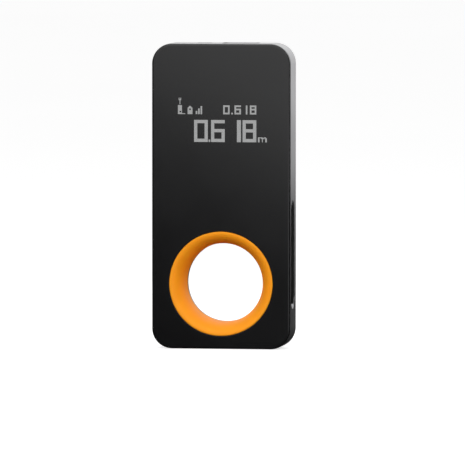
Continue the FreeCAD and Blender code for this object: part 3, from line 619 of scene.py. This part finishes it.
meterIcon = ([".#.#....."] * 2 + [".###....."] + ["..#......"] * 5 + ["........."] + ["#####...."] * 7
             + ["##..#...."] * 2 + ["#####....", "#########"])
batteryIcon = ["..##..", ".####.", "######"] + ["##..##"] * 2 + ["######"] * 5
signalIcon = ["......##"] * 3 + ["...##.##"] * 3 + ["##.##.##"] * 4
unitLetter = ["######.###.", "##..####.##"] + ["##...#...##"] * 4


# Lights the dots that a picture marks with #, its upper left one at the place.
def drawIcon(dots, icon, place):
    column, row = place
    picture = np.array([[mark == "#" for mark in line] for line in icon])
    dots[row:row + picture.shape[0], column:column + picture.shape[1]] |= picture


# A block figure: bars of the stroke's thickness along the sides that the figure uses. A 1 is one plain bar.
def drawFigure(dots, figure, column, row, size):
    width, height, stroke, barWidth = size
    bottom = row + height
    if figure == "1":
        dots[row:bottom, column:column + barWidth] = True
        return
    right = column + width
    middle = row + (height - stroke) // 2
    bars = [(row, row + stroke, column, right), (row, middle + stroke, column, column + stroke),
            (row, middle + stroke, right - stroke, right), (middle, middle + stroke, column, right),
            (middle, bottom, column, column + stroke), (middle, bottom, right - stroke, right),
            (bottom - stroke, bottom, column, right)]
    for (top, low, left, end), used in zip(bars, strokesOf[figure]):
        if used == "1":
            dots[top:low, left:end] = True


# The figures of one number and its decimal point, which is two dots wide.
def drawReading(dots, figures, row, size, point):
    for figure, column in figures:
        drawFigure(dots, figure, column, row, size)
    pointRow, pointColumn, pointHeight = point
    dots[pointRow:pointRow + pointHeight, pointColumn:pointColumn + 2] = True


# The lit dots as a grid of true and false, first row at the top.
def drawDisplay(piece):
    dots = np.zeros((piece["rows"], piece["columns"]), bool)
    drawIcon(dots, meterIcon, piece["meterPlace"])
    drawIcon(dots, batteryIcon, piece["batteryPlace"])
    drawIcon(dots, signalIcon, piece["signalPlace"])
    drawIcon(dots, unitLetter, piece["unitPlace"])
    drawReading(dots, piece["smallFigures"], piece["smallRow"], piece["smallSize"], piece["smallPoint"])
    drawReading(dots, piece["bigFigures"], piece["bigRow"], piece["bigSize"], piece["bigPoint"])
    return dots


# Every lit dot is the same flat block, moved to its place: corner = centre +/- half sizes.
def makeDisplay(piece):
    low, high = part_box("display_polariser")
    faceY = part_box("front_panel")[0].y
    pitch = piece["width"] / piece["columns"]
    left = (low.x + high.x - piece["width"]) / 2
    top = low.z + piece["below"] + piece["rows"] * pitch
    row, column = np.nonzero(drawDisplay(piece))
    half = np.array([pitch * piece["fill"], piece["depth"], pitch * piece["fill"]]) / 2
    centres = np.stack([left + (column + 0.5) * pitch, np.full(len(row), faceY + half[1]),
                        top - (row + 0.5) * pitch], axis=-1)
    signs = np.array([(x, y, z) for x in (-1, 1) for y in (-1, 1) for z in (-1, 1)])
    blockFaces = np.array([(0, 1, 3, 2), (4, 6, 7, 5), (0, 4, 5, 1), (2, 3, 7, 6), (0, 2, 6, 4),
                           (1, 5, 7, 3)])
    points = (centres[:, None, :] + signs[None] * half).reshape(-1, 3)
    faces = (blockFaces[None] + 8 * np.arange(len(row))[:, None, None]).reshape(-1, 4)
    display = quadMesh("displayDots", points, faces, smooth=False)
    material, tree, shader = newMaterial("displayLight", {
        "Base Color": (0.02, 0.02, 0.02, 1), "Roughness": 0.4, "Emission Strength": piece["glow"]})
    flicker = noise(tree, stretchedCoords(tree), 0.9 * mm, (-900, 200))
    level = spread(tree, flicker, 0, 1, (-700, 200))
    glow = blendColours(tree, level, (0.88, 0.9, 0.9), (1.0, 1.0, 1.0), (-450, 200))
    tree.links.new(glow, shader.inputs["Emission Color"])
    display.data.materials.append(material)
    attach(display, "case")
    return display


makeDisplay(displayPiece)
print("display lit")


roomLook = {
    "floorColour": (0.62, 0.62, 0.62),
    "floorGlow": 0.66,
    "half": 6.0,            # half the floor's width
    "squares": 8,           # how many along each side
    "drop": 0.02 * mm,      # the floor's distance below the base
    "skyForCamera": (0.93, 0.93, 0.93),
    "skyLow": 0.02,         # light from below and level
    "skyHigh": 0.7,         # light from straight above
}


# The floor is a flat grid of points, a little below the base so that the two faces don't meet.
def makeFloor(look):
    squares = look["squares"]
    side = np.linspace(-look["half"], look["half"], squares + 1)
    x, y = np.meshgrid(side, side, indexing="ij")
    points = np.stack([x, y, np.full_like(x, -look["drop"])], axis=-1).reshape(-1, 3)
    row, column = np.meshgrid(np.arange(squares), np.arange(squares), indexing="ij")
    first = row * (squares + 1) + column
    faces = np.stack([first, first + squares + 1, first + squares + 2, first + 1], axis=-1).reshape(-1, 4)
    floor = quadMesh("studioFloor", points, faces)
    material, tree, shader = makeFinish("floorPaint", {
        "colour": look["floorColour"], "roughness": 0.8, "cloudSize": 0.4, "tone": 0.01, "grainSize": 1 * mm,
        "grainDepth": 0.02 * mm})
    shader.inputs["Emission Color"].default_value = (1, 1, 1, 1)
    shader.inputs["Emission Strength"].default_value = look["floorGlow"]
    floor.data.materials.append(material)
    floor.visible_glossy = False
    floor.visible_diffuse = False
    return floor


# The sky's light rises smoothly from skyLow at the horizon to skyHigh overhead. The camera sees plain pale
# sky.
def makeSky(look):
    world = bpy.data.worlds.new("studioSky")
    bpy.context.scene.world = world
    world.use_nodes = True
    tree = world.node_tree
    background = tree.nodes["Background"]
    coords = newNode(tree, "ShaderNodeTexCoord", (-1200, 0))
    parts = newNode(tree, "ShaderNodeSeparateXYZ", (-1000, 0))
    tree.links.new(coords.outputs["Generated"], parts.inputs["Vector"])
    rise = newNode(tree, "ShaderNodeMapRange", (-800, 0), interpolation_type="SMOOTHSTEP")
    rise.inputs["From Min"].default_value = 0.0
    rise.inputs["From Max"].default_value = 1.0
    rise.inputs["To Min"].default_value = look["skyLow"]
    rise.inputs["To Max"].default_value = look["skyHigh"]
    tree.links.new(parts.outputs["Z"], rise.inputs["Value"])
    rays = newNode(tree, "ShaderNodeLightPath", (-800, 300))
    choose = newNode(tree, "ShaderNodeMix", (-500, 0), data_type="RGBA")
    tree.links.new(rays.outputs["Is Camera Ray"], choose.inputs["Factor"])
    tree.links.new(rise.outputs["Result"], choose.inputs["A"])
    choose.inputs["B"].default_value = (*look["skyForCamera"], 1)
    tree.links.new(choose.outputs["Result"], background.inputs["Color"])


# Brightness is what a box looks like from in front: watts = brightness x pi x area. A box without sheen
# lights the soft surfaces and doesn't show in the shiny ones.
softBoxes = {
    "frontBox": {"place": (0.063, -0.35, 0.268), "aim": (0.063, 0, 0.268), "size": (0.7, 0.5), "roll": -26,
                 "brightness": 1.3, "sheen": True},
    "rearHighBox": {"place": (-0.05, 0.3, 0.230), "aim": (-0.05, 0, 0.230), "size": (0.7, 0.35), "roll": 0,
                    "brightness": 0.92, "sheen": True},
    "rearLowBox": {"place": (-0.05, 0.3, 0.042), "aim": (-0.05, 0, 0.042), "size": (0.7, 0.026), "roll": 0,
                   "brightness": 0.62, "sheen": True},
    "rightBox": {"place": (0.45, -0.5, 0.1), "aim": (0, 0, 0.03), "size": (0.35, 0.45), "roll": 0,
                 "brightness": 4.4, "sheen": False},
    "leftBox": {"place": (-0.6, -0.35, 0.1), "aim": (0, 0, 0.03), "size": (0.35, 0.45), "roll": 0,
                "brightness": 3.6, "sheen": False},
    "topBox": {"place": (0.15, -0.15, 0.8), "aim": (0, 0, 0.05), "size": (1.3, 1.3), "roll": 0,
               "brightness": 0.25, "sheen": True},
}


# One rectangular area light for each box, turned from its place to its aim and then rolled.
def makeLights(boxes):
    for name, box in boxes.items():
        data = bpy.data.lights.new(name, "AREA")
        data.shape = "RECTANGLE"
        data.size, data.size_y = box["size"]
        data.energy = box["brightness"] * math.pi * data.size * data.size_y
        light = bpy.data.objects.new(name, data)
        bpy.context.scene.collection.objects.link(light)
        light.location = box["place"]
        away = Vector(box["place"]) - Vector(box["aim"])
        turn = away.to_track_quat("Z", "Y") @ Quaternion((0, 0, 1), math.radians(box["roll"]))
        light.rotation_euler = turn.to_euler()
        light.visible_camera = False
        light.visible_glossy = box["sheen"]


makeFloor(roomLook)
makeSky(roomLook)
makeLights(softBoxes)
bpy.context.scene.view_settings.view_transform = "Standard"
print("room and lights made")
